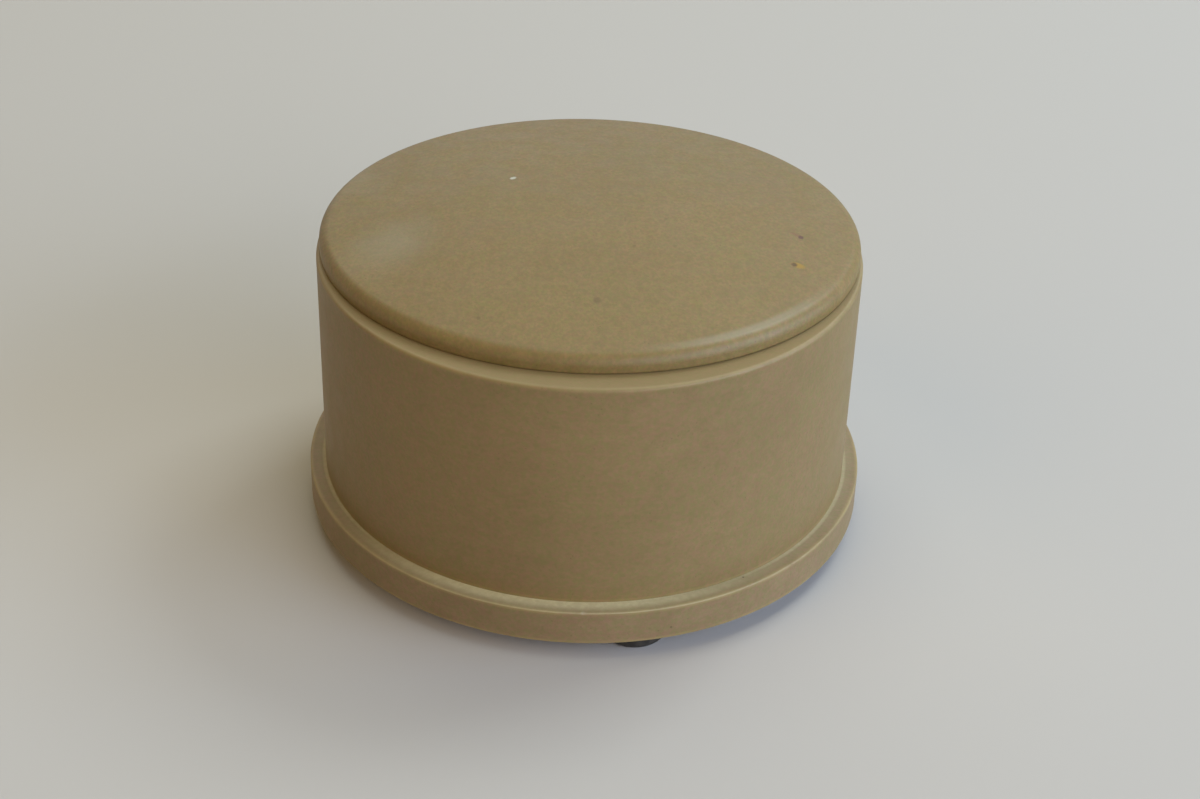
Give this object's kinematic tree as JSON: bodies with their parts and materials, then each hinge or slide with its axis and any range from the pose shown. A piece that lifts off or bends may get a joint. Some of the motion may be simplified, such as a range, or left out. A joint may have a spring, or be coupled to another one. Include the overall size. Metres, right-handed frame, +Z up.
{
  "type": "trinket box",
  "caption": "Round turned box with a straight wall on a wider base disc, small round feet and a low domed lid that lifts off.",
  "frame": {"origin": "middle of the box, on the surface it stands on", "axes": "+Z up along the axis of the drum, -Y to the front, +X to the right along the grain of the lid"},
  "size_m": [0.106, 0.106, 0.0611],
  "materials": {
    "base_wood": "satin",
    "wall_wood": "satin",
    "lid_wood": "satin",
    "ring_wood": "satin",
    "foot_rubber": "matte"
  },
  "bodies": {
    "box": {"base_disc": "base_wood", "body_wall": "wall_wood", "foot_1": "foot_rubber", "foot_2": "foot_rubber", "foot_3": "foot_rubber", "foot_4": "foot_rubber"},
    "lid": {"lid": "lid_wood", "lid_locating_ring": "ring_wood"}
  },
  "joints": [
    {"name": "lid_lift", "type": "slide", "parent": "box", "child": "lid", "axis": [0, 0, 1], "range_m": [0, 0.08]}
  ]
}
